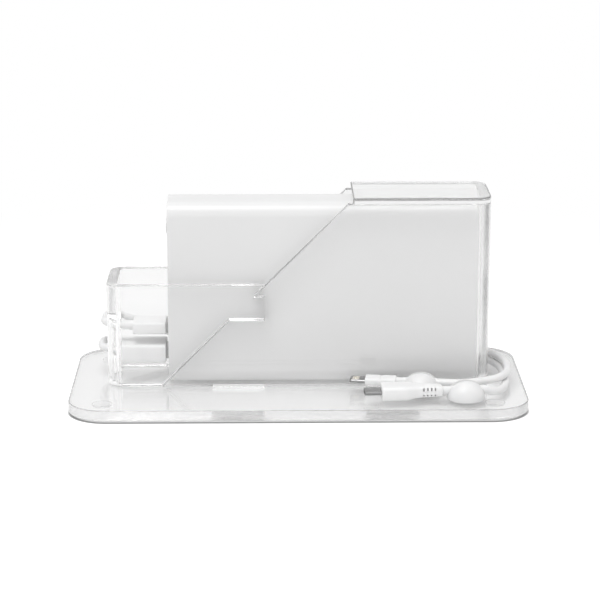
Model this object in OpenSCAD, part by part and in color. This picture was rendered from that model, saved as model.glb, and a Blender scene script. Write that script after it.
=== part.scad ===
// Desktop phone charging stand. A power bank stands on its long edge on a clear tray, inside a clear
// cover. An end guard locks into the cover with a tongue and keeps the two charging leads plugged in.
// X runs left to right, Y front to back and Z up. The origin is under the middle of the tray, on the
// surface that the feet stand on.

/* [Tray] */
// Length of the tray, left to right
tray_l = 204; // [200:1:240]
// Width of the tray, front to back
tray_w = 99; // [97:1:120]
// Thickness of the tray's sheet
tray_t = 4.8; // [4:0.1:6]
// Radius of the tray's corners
tray_r = 17.5; // [10:0.5:22]
// Tray in front of the cover, where the phone plugs lie
front_margin = 36; // [35:0.5:38]
// Diameter of a foot
foot_d = 9; // [6:0.5:12]
// Height of a foot
foot_h = 1; // [1:0.1:2]
// Distance of each foot's centre from the tray's edges
foot_inset = 15; // [12:0.5:18]

/* [Cover and guard] */
// Thickness of the sheet of the cover and the guard
wall_t = 4.8; // [3.6:0.1:5.4]
// Inside radius of the bent corners
bend_r = 2; // [1.8:0.1:2.4]
// Thickness of the cover's top sheet
top_t = 3; // [2:0.1:4.8]
// How far the top sheet's end is set back from the slant of the walls
top_in = 2; // [0:0.1:6]
// Height of the end guard
guard_h = 46.6; // [44:0.2:52]
// Where the seam meets the tray, from the guard's end
seam_foot = 24.8; // [23:0.2:27]
// Height of the tongue's underside above the tray
tongue_z = 30.4; // [28:0.2:31]
// Height of the tongue
tongue_h = 11.2; // [8:0.2:12]
// Length of the tongue past the lower slant of the seam
tongue_l = 15.8; // [12:0.2:18]
// How far the cover's lip reaches over the tongue
lip_l = 4.4; // [3:0.2:6]
// Width of the slot for the leads
slot_w = 12; // [11:0.5:16]
// Height of the slot for the leads
slot_h = 31; // [31:0.5:34]
// Width of the tabs that go through the tray
tab_w = 23; // [14:0.5:26]
// Width of the tab under the cover's end wall
end_tab_w = 12; // [8:0.5:14]
// Middle of the first pair of tabs, from the guard's end
tab_first = 59; // [56:0.5:66]
// Distance from the first pair of tabs to the second
tab_pitch = 69; // [50:0.5:72]

/* [Power bank] */
// Length of the power bank
bank_l = 139; // [132:0.5:142]
// Height of the power bank, standing on its long edge
bank_h = 83; // [78:0.2:90]
// Thickness of the power bank
bank_w = 25.8; // [24:0.2:28]
// Radius of its long edges
bank_r = 6.5; // [4:0.5:8]
// Thickness of its case
case_t = 1.8; // [1.2:0.1:2]
// Thickness of its end caps
cap_t = 2.2; // [1.8:0.1:2.6]
// Height of the lower outlet above the tray
outlet_z = 12.4; // [11:0.1:12.6]
// Distance between the two outlets
outlet_pitch = 11.8; // [10.5:0.1:12]
// Distance from the power bank's top to the middle of the charging inlet
inlet_drop = 30.8; // [30.5:0.1:34]
// Distance from the power bank's top to the row of lights
lights_drop = 22.3; // [21:0.1:23.5]
// Distance between two lights
light_pitch = 3.6; // [3:0.1:4.2]
// Distance from the power bank's top to the middle of the button
button_drop = 12.8; // [11.8:0.1:14.2]
// Diameter of the button
button_d = 7; // [5:0.1:7.6]
// Travel of the button
button_travel = 0.6; // [0.3:0.1:0.8]
// Depth of the outlets, from the case's end to the circuit board
outlet_depth = 14; // [13.6:0.1:15]
// Space between the cells and the plain end cap, for the screw bosses
cell_end_space = 11.8; // [10.5:0.1:16]
// Space above and below the cells
cell_edge_space = 2.6; // [1.5:0.1:5]
// Thickness of the foam between a cell and the case
foam_t = 0.5; // [0.3:0.1:1]

/* [Leads] */
// Diameter of a lead
lead_d = 3.5; // [3:0.1:3.6]
// Free space between the guard's end wall and the power bank, where the plugs sit
bay_l = 22.8; // [22.8:0.2:26]
// Length of the upper plug's grip
plug_upper_l = 15; // [12:0.5:17]
// Width of the upper plug's grip
plug_upper_w = 14; // [13.4:0.1:16]
// Thickness of the upper plug's grip
plug_upper_t = 5.4; // [5:0.1:6]
// Length of the lower plug's grip
plug_lower_l = 20.9; // [18:0.1:21]
// Width of the lower plug's grip
plug_lower_w = 16; // [13.4:0.2:18]
// Thickness of the lower plug's grip
plug_lower_t = 8.6; // [6:0.1:9]
// Length of the sleeve behind the upper plug's grip
sleeve_l = 5; // [3:0.5:5.5]
// Length of metal that shows between a grip and the power bank
plug_gap = 1.4; // [0.8:0.1:2]
// Length of the flat phone plug's grip
flat_l = 13.8; // [11:0.1:16]
// Width of the flat phone plug's grip
flat_w = 7.7; // [7.2:0.1:8.4]
// Thickness of the flat phone plug's grip
flat_t = 3.4; // [3:0.1:4.4]
// Length of the micro plug's grip
micro_l = 17.8; // [14:0.1:20]
// Width of the micro plug's grip
micro_w = 11; // [9:0.5:12]
// Thickness of the micro plug's grip
micro_t = 6.2; // [5:0.1:7]
// Length of the micro plug's ribbed sleeve
relief_l = 9.3; // [8:0.1:12]

/* [Clips] */
// Distance from the cover's front to the middle of the rear clip
rear_clip_out = 8.6; // [8.5:0.1:9]
// Distance from the rear clip to the front clip, towards the front
clip_step = 11.7; // [11.2:0.1:12]
// Distance from the cover's right end to the middle of the rear clip
rear_clip_in = 31; // [29.5:0.5:32]
// Distance from the cover's right end to the middle of the front clip
front_clip_in = 12; // [10.5:0.5:12.5]
// Diameter of a cable clip
clip_d = 16.8; // [14:0.1:17]
// Height of a cable clip, with its adhesive pad
clip_h = 8.8; // [7.5:0.1:9.5]
// Height of the held lead above the tray
groove_z = 4.4; // [4.2:0.1:4.8]
// Width of the opening at the top of a clip
clip_mouth = 2.4; // [1.6:0.1:2.8]
// Thickness of a clip's adhesive pad
pad_t = 0.5; // [0.3:0.1:1]

/* [Hidden] */
$fn = 64;

// Clearances
tab_gap = 0.1;        // tab in its slot
seam_gap = 0.3;       // guard to cover
slide_gap = 0.1;      // guard over the tray
bank_end_gap = 0.6;   // power bank to the cover's end wall
bank_side_gap = 0.8;  // power bank to the front and back walls
bank_top_gap = 0.4;   // power bank to the cover's top
case_gap = 0.1;       // caps and sockets in the case
press_gap = 0.05;     // button beyond its travel
button_gap = 0.1;     // button in its hole
screw_gap = 0.05;     // thread in its hole
pipe_gap = 0.05;      // light pipe in its hole
groove_gap = 0.1;     // lead in a clip
screw_room = 1;       // hole beyond a screw's tip
over = 1;             // how far a cut runs past the faces it opens
lap = 0.5;            // how far the shapes that make up one piece run into each other

// Cover and guard
top_z = foot_h + tray_t;
holder_l = wall_t + bay_l + bank_l + bank_end_gap + wall_t;
holder_w = bank_w + 2 * bank_side_gap + 2 * wall_t;
cover_h = bank_h + bank_top_gap + top_t;
holder_x = -holder_l / 2;
holder_y = front_margin - tray_w / 2 + holder_w / 2;
seam_x = holder_x + seam_foot;
lip_z = tongue_z + tongue_h;
tongue_x = seam_x + tongue_z + tongue_l;
lip_x = tongue_x - lip_l;
wall_h = cover_h - top_t;
slant_top_x = lip_x + wall_h - lip_z;
cover_top_x = slant_top_x + top_in;
slant_gap = seam_gap * sqrt(2);
tab_xs = [holder_x + tab_first, holder_x + tab_first + tab_pitch];

// Power bank. Its own frame starts at the middle of its left end, at the tray's top.
bank_x = holder_x + wall_t + bay_l;
mouth_set = 0.3;
board_x = mouth_set + outlet_depth;
board_w = 17;
board_t = 1.6;
inlet_z = bank_h - inlet_drop;
lights_z = bank_h - lights_drop;
button_z = bank_h - button_drop;
outlet_zs = [outlet_z, outlet_z + outlet_pitch];
board_under = 6.4;
board_over = 5;
board_z = [outlet_z - board_under, button_z + board_over];
screw_in = 2.5;
screw_z = case_t + screw_in;
screw_d = 1.9;
screw_head_d = 3.6;
screw_head_t = 1.3;
screw_l = 9;
boss_d = 5.6;
boss_l = 7.6;
post_z = (outlet_zs[1] + inlet_z) / 2;
post_y = 5.6;
post_d = 4.4;
post_screw_l = 5;
pipe_d = 2.2;
led_t = 1;
led_w = 1.6;
switch_w = 6;
switch_t = 3.5;
button_proud = 0.8;
button_flange_t = 0.8;
button_flange_w = 0.8;
button_stem_d = 3;
cell_tab_l = 3.1;
cell_tab_w = 5;
cell_tab_t = 0.3;
cell_x = board_x + board_t + cell_tab_l;
cell_l = bank_l - cap_t - cell_end_space - cell_x;
cell_h = bank_h - 2 * case_t - 2 * cell_edge_space;
tape_t = 0.4;
cell_t = (bank_w - tape_t) / 2 - case_t - foam_t;
tape_margin = 5;
foam_margin = 8;

// USB-A plug and socket
socket_w = 13.2;
socket_h = 5.8;
socket_t = 0.3;
socket_base_l = 3.5;
usb_w = 12;
usb_h = 4.5;
usb_t = 0.3;
usb_l = 12;
tongue_half = 1.8;
tongue_w = 11;
tongue_reach = 9;
tongue_off = 0.05;
insulator_set = 0.4;
plug_upper_r = 1.2;
plug_lower_r = 1.6;
inlet_w = 7.6;
inlet_h = 2.8;
inlet_t = 0.3;
inlet_core_l = 9;
inlet_blade_l = 3.5;
inlet_blade_w = 4;
inlet_blade_t = 0.6;

// Phone plugs and clips. The front clip holds the micro plug's lead, the rear clip the flat plug's.
// Each clip is its middle and its turn.
cover_front_y = holder_y - holder_w / 2;
clip_front = [holder_l / 2 - front_clip_in, cover_front_y - rear_clip_out - clip_step, 4];
clip_rear = [holder_l / 2 - rear_clip_in, cover_front_y - rear_clip_out, -8];
flat_back = 11.3;
flat_boot_l = 3;
flat_boot_d = 3.2;
flat_r = 1.1;
flat_tip_l = 6.9;
flat_tip_w = 6.7;
flat_tip_t = 1.5;
flat_tip_r = 0.7;
contact_l = 3;
contact_w = 0.38;
contact_t = 0.06;
contact_pitch = 0.6;
contact_set = 1.2;
micro_back = 10.7;
micro_shell_l = 7.4;
micro_shell_w = 6.9;
micro_shell_h = 1.9;
micro_shell_t = 0.25;
micro_core_t = 0.8;
micro_core_set = 1;
micro_taper_l = 5;
micro_step = [0.8, 1.8];
micro_thin = [0.4, 0.6];
micro_r = 1.5;
relief_core_d = 4.6;
relief_rib_l = 1.2;
relief_rib_w = 7.2;
relief_rib_t = 5.4;
relief_ribs = 5;
relief_step_w = 0.2;
relief_step_t = 0.1;
relief_r = 1.4;
sleeve_d = 4.4;

pad_in = 0.6;
clip_rim = 1;
lead_z = top_z + groove_z;

// Routes of the leads, from the USB-A plug to the phone plug. The ends follow the plugs.
route_upper = concat([
    [bank_x - plug_gap - plug_upper_l - sleeve_l, holder_y, top_z + outlet_zs[1]]], [
    [-81, 5, 30], [-83.9, 5.6, 30], [-86.3, 7.2, 30], [-87.9, 9.6, 29.9], [-88.5, 12.5, 29.8],
    [-88.5, 18, 29.5], [-88.5, 25, 29], [-87.4, 29.2, 28.5], [-84.3, 32.2, 27.8], [-80, 33, 26.8],
    [-72, 33, 24.2], [-62, 33, 20.2], [-52, 33, 16], [-42, 33, 12.2], [-32, 33, 9.2], [-22, 33, 7.8],
    [-12, 33, 7.6], [2, 33, 7.6], [16, 33, 7.6], [28, 32.6, 7.9], [38, 31.2, 9], [48, 29.5, 10.7],
    [58, 27.9, 11.2], [70, 26.9, 11.2], [79, 26.4, 11.2], [85.6, 24.4, 11.2], [90.2, 20, 11.2],
    [93.2, 14, 11.2], [94.8, 7.6, 11.2], [95.4, 1, 11.2], [95.2, -5.6, 11.2], [93.9, -12, 11.2],
    [91, -17.8, 11.2], [86.6, -21.8, 11.1], [81, -24, 10.9], [75.4, -24.6, 10.5], [70, -24.2, 10.2]],
    [clip_point(clip_rear, 6), clip_point(clip_rear, -6), clip_point(clip_rear, flat_boot_l - flat_back)]);
route_lower = concat([
    [bank_x - plug_gap - plug_lower_l, holder_y, top_z + outlet_zs[0]]], [
    [-82.5, 5, 18.2], [-85.4, 5.6, 18.2], [-87.8, 7.2, 18.2], [-89.4, 9.6, 18.1], [-90, 12.5, 18],
    [-90, 18.5, 17.8], [-88.9, 23.2, 17.4], [-85.8, 26.3, 16.8], [-81.5, 27.5, 16],
    [-72, 27.5, 13.4], [-62, 27.5, 10.6], [-52, 27.5, 8.5], [-42, 27.5, 7.6], [-28, 27.5, 7.6],
    [-10, 27.5, 7.6], [8, 27.5, 7.6], [26, 27.5, 7.6], [44, 27.5, 7.6], [57, 27.3, 7.6],
    [70, 26.7, 7.6], [79, 25.9, 7.6], [85.3, 23.8, 7.6], [89.7, 19.5, 7.6], [92.3, 14, 7.6],
    [93.5, 8, 7.6], [93.9, 2, 7.6], [94, -4.5, 7.6], [93.8, -11, 7.6], [93.1, -17.5, 7.6],
    [91.5, -23.5, 7.6], [88.8, -28.5, 7.9], [85.4, -31.8, 8.8], [82.6, -33, 9.9]],
    [clip_point(clip_front, 6), clip_point(clip_front, -6), clip_point(clip_front, -micro_back)]);

// Point on the axis of a clip's groove, d to the right of the clip's middle
function clip_point(clip, d) =
    [clip[0] + d * cos(clip[2]), clip[1] + d * sin(clip[2]), lead_z];

function unit(v) = v / norm(v);

// Direction of a route at its point i
function heading(p, i) =
    i == 0 ? unit(p[1] - p[0]) :
    i == len(p) - 1 ? unit(p[i] - p[i - 1]) :
    unit(unit(p[i + 1] - p[i]) + unit(p[i] - p[i - 1]));

function ring(p, i, r, n) =
    let (t = heading(p, i), s = unit(cross(t, [0, 0, 1])), u = cross(s, t))
    [for (k = [0 : n - 1]) p[i] + r * cos(360 * k / n) * s + r * sin(360 * k / n) * u];

// Round tube along a route
module tube(p, d, n = 8) {
    rings = [for (i = [0 : len(p) - 1]) each ring(p, i, d / 2, n)];
    last = (len(p) - 1) * n;
    sides = [for (i = [0 : len(p) - 2], k = [0 : n - 1])
        let (a = i * n + k, b = i * n + (k + 1) % n)
        each [[a, b, b + n], [a, b + n, a + n]]];
    ends = [for (k = [1 : n - 2]) each [[0, k + 1, k], [last, last + k, last + k + 1]]];
    polyhedron(points = rings, faces = concat(sides, ends));
}

// Outline of a rectangle with round corners, centred
module round_rect(w, h, r) {
    square([w - 2 * r, h], center = true);
    square([w, h - 2 * r], center = true);
    for (x = [-1, 1], y = [-1, 1])
        translate([x * (w / 2 - r), y * (h / 2 - r)]) circle(r);
}

// Bar along X from x = 0, of width w (Y) and height h (Z), with round long edges
module bar_x(l, w, h, r) {
    rotate([90, 0, 90]) linear_extrude(l) round_rect(w, h, r);
}

// Box from x = 0, centred on Y and Z
module box_x(l, w, h) {
    translate([0, -w / 2, -h / 2]) cube([l, w, h]);
}

// Cylinder along X from x = 0
module rod_x(l, d) {
    rotate([0, 90, 0]) cylinder(h = l, d = d);
}

module in_bank() {
    translate([bank_x, holder_y, top_z]) children();
}

module at_clip(clip) {
    translate([clip[0], clip[1], top_z]) rotate([0, 0, clip[2]]) children();
}

// Upright wall that runs right round the power bank, seen from above, h high
module wall_ring(h) {
    translate([0, holder_y, 0]) linear_extrude(h) difference() {
        round_rect(holder_l, holder_w, bend_r + wall_t);
        round_rect(holder_l - 2 * wall_t, holder_w - 2 * wall_t, bend_r);
    }
}

// Solid whose side view is the given outline (X, height above the tray)
module side_view(points) {
    translate([0, holder_y + holder_w, 0]) rotate([90, 0, 0])
        linear_extrude(2 * holder_w) polygon(points);
}

module tray() {
    color([0.93, 0.95, 0.95, 0.5]) translate([0, 0, foot_h]) difference() {
        linear_extrude(tray_t) round_rect(tray_l, tray_w, tray_r);
        for (x = tab_xs, y = [-1, 1])
            translate([x, holder_y + y * (holder_w - wall_t) / 2, tray_t / 2])
                cube([tab_w + 2 * tab_gap, wall_t + 2 * tab_gap, 2 * tray_t], center = true);
        translate([holder_l / 2 - wall_t / 2, holder_y, tray_t / 2])
            cube([wall_t + 2 * tab_gap, end_tab_w + 2 * tab_gap, 2 * tray_t], center = true);
    }
}

module feet() {
    color([0.9, 0.92, 0.92, 0.7])
        for (x = [-1, 1], y = [-1, 1])
            translate([x * (tray_l / 2 - foot_inset), y * (tray_w / 2 - foot_inset), 0])
                cylinder(h = foot_h, d = foot_d);
}

module cover_walls() {
    color([0.88, 0.93, 0.95, 0.45]) {
        translate([0, 0, top_z]) intersection() {
            wall_ring(wall_h);
            side_view([[seam_x, 0], [seam_x + tongue_z, tongue_z], [tongue_x, tongue_z],
                [tongue_x, lip_z], [lip_x, lip_z], [slant_top_x, wall_h],
                [holder_l, wall_h], [holder_l, 0]]);
        }
        for (x = tab_xs, y = [-1, 1])
            translate([x - tab_w / 2, holder_y + y * (holder_w - wall_t) / 2 - wall_t / 2, foot_h])
                cube([tab_w, wall_t, tray_t]);
        translate([holder_l / 2 - wall_t, holder_y - end_tab_w / 2, foot_h])
            cube([wall_t, end_tab_w, tray_t]);
    }
}

module cover_top() {
    plate_l = holder_l / 2 - cover_top_x;
    color([0.88, 0.93, 0.95, 0.45])
        translate([cover_top_x, holder_y, top_z + wall_h])
            linear_extrude(top_t) union() {
                translate([0, -holder_w / 2]) square([plate_l / 2, holder_w]);
                translate([plate_l / 2, 0]) round_rect(plate_l, holder_w, bend_r + wall_t);
            }
}

module end_guard() {
    color([0.85, 0.92, 0.95, 0.45]) translate([0, 0, top_z]) difference() {
        intersection() {
            wall_ring(guard_h);
            side_view([[-holder_l, slide_gap], [seam_x - slant_gap + slide_gap, slide_gap],
                [seam_x + tongue_z + seam_gap - slant_gap, tongue_z + seam_gap],
                [tongue_x - seam_gap, tongue_z + seam_gap], [tongue_x - seam_gap, lip_z - seam_gap],
                [lip_x - seam_gap - slant_gap, lip_z - seam_gap],
                [lip_x + guard_h - lip_z - slant_gap, guard_h], [-holder_l, guard_h]]);
        }
        translate([holder_x - wall_t, holder_y, 0]) {
            translate([0, -slot_w / 2, -slot_h]) cube([3 * wall_t, slot_w, 2 * slot_h - slot_w / 2]);
            translate([0, 0, slot_h - slot_w / 2]) rod_x(3 * wall_t, slot_w);
        }
    }
}

// End view of the power bank's case, grown inwards by d
module case_outline(d) {
    round_rect(bank_w - 2 * d, bank_h - 2 * d, bank_r - d);
}

// Runs its children at each of the case's four screws: left end and right end, bottom and top
module at_cap_screws() {
    for (z = [screw_z, bank_h - screw_z]) {
        translate([0, 0, z]) children();
        translate([bank_l, 0, z]) mirror([1, 0, 0]) children();
    }
}

module bank_case() {
    color("white") in_bank() {
        difference() {
            union() {
                translate([0, 0, bank_h / 2]) rotate([90, 0, 90]) linear_extrude(bank_l)
                    difference() {
                        case_outline(0);
                        case_outline(case_t);
                    }
                at_cap_screws() translate([cap_t + case_gap, 0, 0]) rod_x(boss_l, boss_d);
            }
            at_cap_screws() translate([cap_t, 0, 0])
                rod_x(boss_l + 2 * over, screw_d + 2 * screw_gap);
            // keeps the bosses inside the case's outer faces
            for (z = [-boss_d / 2, bank_h + boss_d / 2])
                translate([-over, 0, z]) box_x(bank_l + 2 * over, bank_w, boss_d);
        }
    }
}

// End cap without its openings, with holes for its screws
module cap_blank() {
    difference() {
        translate([0, 0, bank_h / 2]) rotate([90, 0, 90]) linear_extrude(cap_t)
            case_outline(case_t + case_gap);
        for (z = [screw_z, bank_h - screw_z]) translate([0, 0, z]) {
            translate([-over, 0, 0]) {
                rod_x(cap_t + 2 * over, screw_d + 2 * screw_gap);
                rod_x(over + screw_head_t, screw_head_d + 2 * screw_gap);
            }
        }
    }
}

module bank_port_cap() {
    color([0.96, 0.96, 0.96]) in_bank() {
        difference() {
            union() {
                cap_blank();
                for (y = [-1, 1]) translate([cap_t / 2, y * post_y, post_z])
                    rod_x(board_x - cap_t / 2, post_d);
            }
            for (z = outlet_zs) translate([-over, 0, z])
                box_x(cap_t + 2 * over, socket_w + 2 * case_gap, socket_h + 2 * case_gap);
            translate([-over, 0, inlet_z])
                box_x(cap_t + 2 * over, inlet_w + 2 * case_gap, inlet_h + 2 * case_gap);
            for (i = [-1.5 : 1 : 1.5]) translate([-over, i * light_pitch, lights_z])
                rod_x(cap_t + 2 * over, pipe_d + 2 * pipe_gap);
            translate([-over, 0, button_z]) rod_x(cap_t + 2 * over, button_d + 2 * button_gap);
            for (y = [-1, 1]) translate([board_x - post_screw_l - screw_room, y * post_y, post_z])
                rod_x(post_screw_l + screw_room + over, screw_d + 2 * screw_gap);
        }
    }
}

module bank_end_cap() {
    color([0.96, 0.96, 0.96]) in_bank() translate([bank_l, 0, 0]) mirror([1, 0, 0]) cap_blank();
}

// Pan head screw along +X with its head at x = 0
module screw(l) {
    rod_x(screw_head_t, screw_head_d);
    rod_x(l, screw_d);
}

module cap_screws() {
    color("silver") in_bank() at_cap_screws() screw(screw_l);
}

module circuit_board() {
    color("seagreen") in_bank() difference() {
        translate([board_x, -board_w / 2, board_z[0]])
            cube([board_t, board_w, board_z[1] - board_z[0]]);
        for (y = [-1, 1]) translate([board_x - over, y * post_y, post_z])
            rod_x(board_t + 2 * over, screw_d + 2 * screw_gap);
    }
}

module board_screws() {
    color("silver") in_bank() for (y = [-1, 1])
        translate([board_x + board_t + screw_head_t, y * post_y, post_z])
            mirror([1, 0, 0]) screw(screw_head_t + board_t + post_screw_l);
}

module status_leds() {
    color("gold") in_bank() for (i = [-1.5 : 1 : 1.5])
        translate([board_x - led_t, i * light_pitch, lights_z]) box_x(led_t, led_w, led_w);
}

module light_pipes() {
    color([0.8, 0.9, 1, 0.7]) in_bank() for (i = [-1.5 : 1 : 1.5])
        translate([0, i * light_pitch, lights_z]) rod_x(board_x - led_t, pipe_d);
}

module button_switch() {
    color("dimgray") in_bank() translate([board_x - switch_t, 0, button_z])
        box_x(switch_t, switch_w, switch_w);
}

module power_button() {
    stem_end = board_x - switch_t - button_travel - press_gap;
    flange_x = cap_t + case_gap;
    color([0.9, 0.9, 0.9]) in_bank() translate([0, 0, button_z]) {
        translate([-button_proud, 0, 0]) rod_x(flange_x + button_proud + button_flange_t / 2, button_d);
        translate([flange_x, 0, 0]) {
            rod_x(button_flange_t, button_d + 2 * button_flange_w);
            rod_x(stem_end - flange_x, button_stem_d);
        }
    }
}

module usb_socket(z) {
    color("silver") in_bank() translate([mouth_set, 0, z]) difference() {
        box_x(outlet_depth, socket_w, socket_h);
        translate([-over, 0, 0])
            box_x(outlet_depth + 2 * over, socket_w - 2 * socket_t, socket_h - 2 * socket_t);
    }
}

module usb_socket_upper() {
    usb_socket(outlet_zs[1]);
}

module usb_socket_lower() {
    usb_socket(outlet_zs[0]);
}

// Plastic core of each outlet and of the inlet, with the blade that carries the contacts
module socket_tongues() {
    color("whitesmoke") in_bank() {
        for (z = outlet_zs) {
            translate([board_x - socket_base_l, 0, z])
                box_x(socket_base_l, socket_w - 2 * socket_t, socket_h - 2 * socket_t);
            translate([board_x - socket_base_l - tongue_reach, -tongue_w / 2, z + tongue_off])
                cube([tongue_reach + lap, tongue_w, tongue_half]);
        }
        translate([board_x - inlet_core_l, 0, inlet_z])
            box_x(inlet_core_l, inlet_w - 2 * inlet_t, inlet_h - 2 * inlet_t);
        translate([board_x - inlet_core_l - inlet_blade_l, 0, inlet_z])
            box_x(inlet_blade_l + lap, inlet_blade_w, inlet_blade_t);
    }
}

module charge_inlet() {
    color("silver") in_bank() translate([mouth_set, 0, inlet_z]) difference() {
        box_x(outlet_depth, inlet_w, inlet_h);
        translate([-over, 0, 0])
            box_x(outlet_depth + 2 * over, inlet_w - 2 * inlet_t, inlet_h - 2 * inlet_t);
    }
}

// Battery cell on one side of the middle tape
module cell(side) {
    color("lightsteelblue") in_bank()
        translate([cell_x, side > 0 ? tape_t / 2 : -tape_t / 2 - cell_t, (bank_h - cell_h) / 2])
            cube([cell_l, cell_t, cell_h]);
}

module cell_front() {
    cell(-1);
}

module cell_back() {
    cell(1);
}

module cell_tape() {
    color("khaki") in_bank() translate([cell_x + tape_margin, 0, bank_h / 2])
        box_x(cell_l - 2 * tape_margin, tape_t, cell_h - 2 * tape_margin);
}

module cell_foam() {
    color("gray") in_bank() for (y = [-1, 1])
        translate([cell_x + foam_margin, y * (bank_w / 2 - case_t - foam_t / 2), bank_h / 2])
            box_x(cell_l - 2 * foam_margin, foam_t, cell_h - 2 * foam_margin);
}

module cell_tabs() {
    color("lightgray") in_bank() for (y = [-1, 1], z = [-1, 1])
        translate([board_x + board_t, y * cell_t / 2, bank_h / 2 + z * cell_h / 4])
            box_x(cell_tab_l, cell_tab_t, cell_tab_w);
}

// Metal shell of a USB-A plug, from the grip's face into the socket
module usb_shell(z) {
    color("silver") in_bank() translate([-plug_gap, 0, z]) difference() {
        box_x(usb_l, usb_w, usb_h);
        translate([-over, 0, 0]) box_x(usb_l + 2 * over, usb_w - 2 * usb_t, usb_h - 2 * usb_t);
    }
}

module usb_plug_upper() {
    color("white") in_bank() translate([-plug_gap - plug_upper_l, 0, outlet_zs[1]]) {
        bar_x(plug_upper_l, plug_upper_w, plug_upper_t, plug_upper_r);
        translate([-sleeve_l, 0, 0]) rod_x(sleeve_l + lap, sleeve_d);
    }
}

module usb_plug_upper_shell() {
    usb_shell(outlet_zs[1]);
}

module usb_plug_lower() {
    color("white") in_bank() translate([-plug_gap - plug_lower_l, 0, outlet_zs[0]])
        bar_x(plug_lower_l, plug_lower_w, plug_lower_t, plug_lower_r);
}

module usb_plug_lower_shell() {
    usb_shell(outlet_zs[0]);
}

// Plastic that half fills each USB-A plug
module usb_plug_insulators() {
    inner_h = usb_h / 2 - usb_t;
    color("whitesmoke") in_bank() for (z = outlet_zs)
        translate([-plug_gap, -usb_w / 2 + usb_t, z - inner_h])
            cube([usb_l - insulator_set, usb_w - 2 * usb_t, inner_h - tongue_off]);
}

module lead_upper() {
    color("white") tube(route_upper, lead_d);
}

module lead_lower() {
    color("white") tube(route_lower, lead_d);
}

// Half profile of a clip's dome: a short upright rim, then an arch to the top
function dome_points(r, h, rim, n = 14) = concat([[0, 0], [r, 0], [r, rim]],
    [for (i = [1 : n]) let (a = 90 * i / n) [r * pow(cos(a), 1.1), rim + (h - rim) * sin(a)]]);

module clip_dome(clip) {
    dome_h = clip_h - pad_t;
    color([0.95, 0.96, 0.96]) at_clip(clip) difference() {
        translate([0, 0, pad_t]) rotate_extrude() polygon(dome_points(clip_d / 2, dome_h, clip_rim));
        translate([-clip_d, 0, groove_z]) rod_x(2 * clip_d, lead_d + groove_gap);
        translate([-clip_d, -clip_mouth / 2, groove_z]) cube([2 * clip_d, clip_mouth, clip_h]);
    }
}

module front_clip() {
    clip_dome(clip_front);
}

module rear_clip() {
    clip_dome(clip_rear);
}

module clip_pads() {
    color("gainsboro") for (clip = [clip_front, clip_rear])
        at_clip(clip) cylinder(h = pad_t, d = clip_d - 2 * pad_in);
}

module flat_plug() {
    color("white") at_clip(clip_rear) translate([-flat_back - flat_l, 0, groove_z]) {
        bar_x(flat_l, flat_w, flat_t, flat_r);
        translate([flat_l - lap, 0, 0]) rod_x(flat_boot_l + lap, flat_boot_d);
    }
}

module flat_plug_tip() {
    color("silver") at_clip(clip_rear) translate([-flat_back - flat_l - flat_tip_l, 0, groove_z])
        bar_x(flat_tip_l, flat_tip_w, flat_tip_t, flat_tip_r);
}

module flat_plug_contacts() {
    color("gold") at_clip(clip_rear)
        translate([-flat_back - flat_l - flat_tip_l + contact_set, 0, groove_z])
            for (i = [-3.5 : 1 : 3.5], s = [-1, 1])
                translate([0, i * contact_pitch, s * (flat_tip_t + contact_t) / 2])
                    box_x(contact_l, contact_w, contact_t);
}

module micro_plug() {
    color("white") at_clip(clip_front) translate([-micro_back - relief_l, 0, groove_z]) {
        translate([-micro_l, 0, 0]) bar_x(micro_l - micro_taper_l, micro_w, micro_t, micro_r);
        translate([-micro_taper_l - lap, 0, 0])
            bar_x(micro_taper_l / 2 + lap, micro_w - 2 * micro_step[0], micro_t - micro_thin[0], micro_r);
        translate([-micro_taper_l / 2 - lap, 0, 0])
            bar_x(micro_taper_l / 2 + 2 * lap, micro_w - 2 * micro_step[1],
                micro_t - micro_thin[1], micro_r);
        rod_x(relief_l, relief_core_d);
        for (i = [0 : relief_ribs - 1])
            translate([i * (relief_l - relief_rib_l) / (relief_ribs - 1), 0, 0])
                bar_x(relief_rib_l, relief_rib_w - i * relief_step_w,
                    relief_rib_t - i * relief_step_t, relief_r);
    }
}

module micro_plug_shell() {
    color("silver") at_clip(clip_front)
        translate([-micro_back - relief_l - micro_l - micro_shell_l, 0, groove_z]) difference() {
            box_x(micro_shell_l, micro_shell_w, micro_shell_h);
            translate([-over, 0, 0]) box_x(micro_shell_l + 2 * over,
                micro_shell_w - 2 * micro_shell_t, micro_shell_h - 2 * micro_shell_t);
        }
}

module micro_plug_insulator() {
    color("dimgray") at_clip(clip_front)
        translate([-micro_back - relief_l - micro_l - micro_shell_l + micro_core_set, 0,
            groove_z + (micro_shell_h - micro_core_t) / 2 - micro_shell_t])
            box_x(micro_shell_l - micro_core_set, micro_shell_w - 2 * micro_shell_t, micro_core_t);
}

tray();
feet();
cover_walls();
cover_top();
end_guard();
bank_case();
bank_port_cap();
bank_end_cap();
cap_screws();
circuit_board();
board_screws();
status_leds();
light_pipes();
button_switch();
power_button();
usb_socket_upper();
usb_socket_lower();
socket_tongues();
charge_inlet();
cell_front();
cell_back();
cell_tape();
cell_foam();
cell_tabs();
usb_plug_upper();
usb_plug_upper_shell();
usb_plug_lower();
usb_plug_lower_shell();
usb_plug_insulators();
lead_upper();
lead_lower();
front_clip();
rear_clip();
clip_pads();
flat_plug();
flat_plug_tip();
flat_plug_contacts();
micro_plug();
micro_plug_shell();
micro_plug_insulator();
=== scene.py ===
from math import cos, pi, radians, sin
import bpy
import bmesh
from mathutils import Matrix, Vector


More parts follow.
